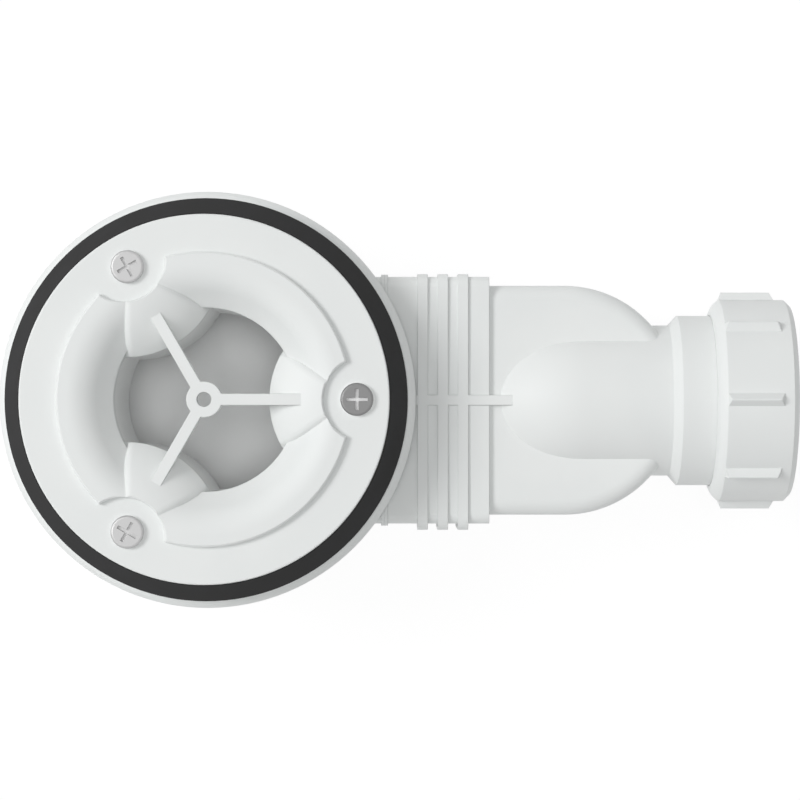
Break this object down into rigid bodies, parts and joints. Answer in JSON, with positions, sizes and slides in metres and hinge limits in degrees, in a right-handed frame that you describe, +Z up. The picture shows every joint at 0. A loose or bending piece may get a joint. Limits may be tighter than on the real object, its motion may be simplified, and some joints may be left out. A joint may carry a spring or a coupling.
{
  "type": "water seal trap",
  "caption": "Low-profile water seal trap for a shower tray: clamped mouth with a removable dip insert, ribbed outlet duct with an elbow back, and a compression nut for the waste pipe.",
  "frame": {"origin": "centre of the spider's screw hole at the top of the hub, level with the clamp plate's land", "axes": "+Z up along the bowl's axis, out of the mouth; +X along the outlet, towards the waste pipe"},
  "size_m": [0.2205, 0.115, 0.0699],
  "materials": {
    "body_white": "satin moulded white plastic",
    "duct_white": "satin moulded white plastic",
    "plate_white": "satin moulded white plastic",
    "insert_white": "satin moulded white plastic",
    "nut_white": "satin moulded white plastic",
    "seal_black": "matt black rubber",
    "gasket_rubber": "matt black rubber",
    "washer_rubber": "matt black rubber",
    "ring_nylon": "smooth natural nylon",
    "screw_steel": "bright stainless steel",
    "screw_steel_shaded": "duller stainless steel"
  },
  "bodies": {
    "trap_body": {"bowl_body": "body_white", "outlet_duct": "duct_white", "clamp_plate": "plate_white", "dip_insert": "insert_white", "insert_gasket": "gasket_rubber", "tray_seal": "seal_black", "pipe_seal": "washer_rubber", "plate_screw_1": "screw_steel_shaded", "plate_screw_2": "screw_steel", "plate_screw_3": "screw_steel"},
    "slip_ring": {"slip_ring": "ring_nylon"},
    "nut": {"compression_nut": "nut_white"}
  },
  "joints": [
    {"name": "nut_travel", "type": "slide", "parent": "trap_body", "child": "slip_ring", "axis": [1, 0, 0], "range_m": [0, 0.00462]},
    {"name": "nut_turn", "type": "hinge", "parent": "slip_ring", "child": "nut", "pos_m": [0.15, 0, -0.037], "axis": [1, 0, 0], "range_deg": [0, 720]}
  ],
  "couplings": [
    {"joint": "nut_travel", "follows": "nut_turn", "m_per_rad": 0.00036749}
  ]
}
